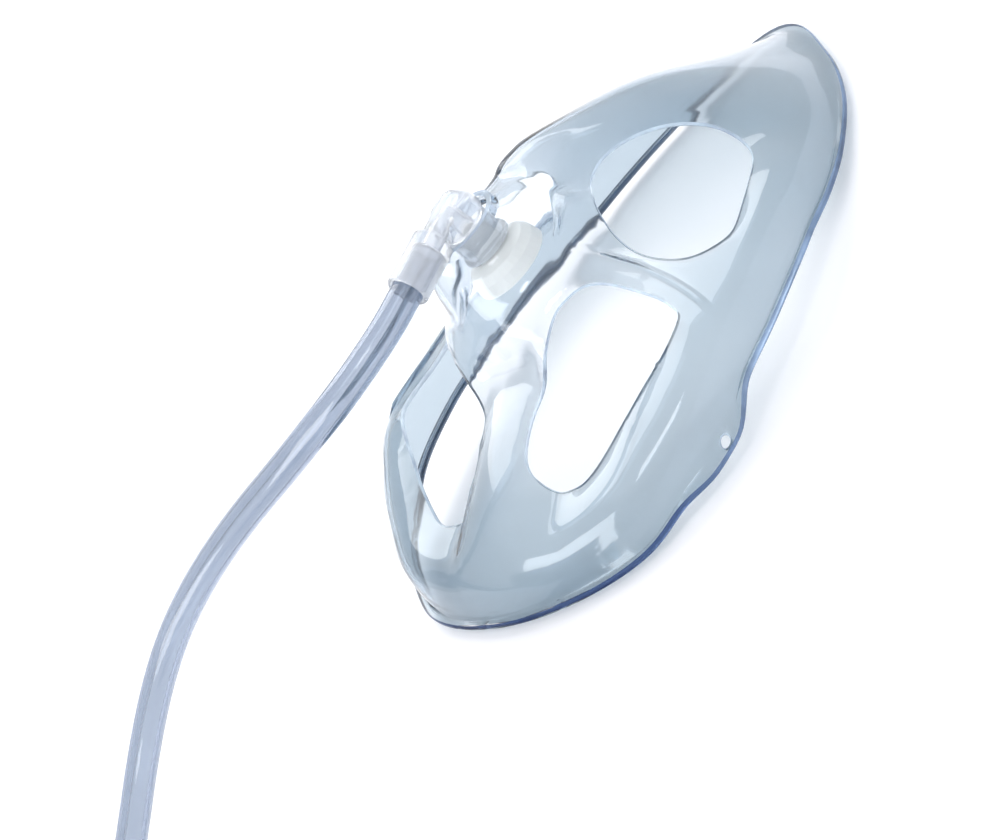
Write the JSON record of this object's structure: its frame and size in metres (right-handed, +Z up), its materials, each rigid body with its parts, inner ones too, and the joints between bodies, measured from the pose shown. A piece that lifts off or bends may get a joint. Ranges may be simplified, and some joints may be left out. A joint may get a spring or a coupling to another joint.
{
  "type": "oxygen face mask",
  "caption": "Clear open-sided oxygen face mask with a swivel elbow, bell diffuser and coiled supply tubing ending in a soft funnel connector.",
  "frame": {"origin": "on the surface that the rim lies on, under the middle of the mask without its tubing", "axes": "+Z up from the face side through the hub, +Y towards the nose, +X to the wearer's right-hand cheek as seen from the front with the nose up"},
  "size_m": [0.1505, 0.3059, 0.0554],
  "materials": {
    "clear_blue_vinyl": "glossy, clear with a blue tint",
    "clear_elbow_plastic": "glossy, clear",
    "cream_diffuser_plastic": "satin cream",
    "clear_tubing_vinyl": "glossy, clear",
    "connector_vinyl": "satin, half clear",
    "tie_polythene": "satin white"
  },
  "bodies": {
    "mask": {"mask_shell": "clear_blue_vinyl"},
    "swivel": {"swivel_elbow": "clear_elbow_plastic", "diffuser_cup": "cream_diffuser_plastic", "diffuser_pin": "cream_diffuser_plastic", "oxygen_tube": "clear_tubing_vinyl", "tube_coil": "clear_tubing_vinyl", "tube_tail": "clear_tubing_vinyl", "coil_tie": "tie_polythene", "tube_connector": "connector_vinyl"}
  },
  "joints": [
    {"name": "elbow_swivel", "type": "hinge", "parent": "mask", "child": "swivel", "pos_m": [0, -0.01225, 0.0478], "axis": [0, 0, 1], "continuous": true}
  ]
}
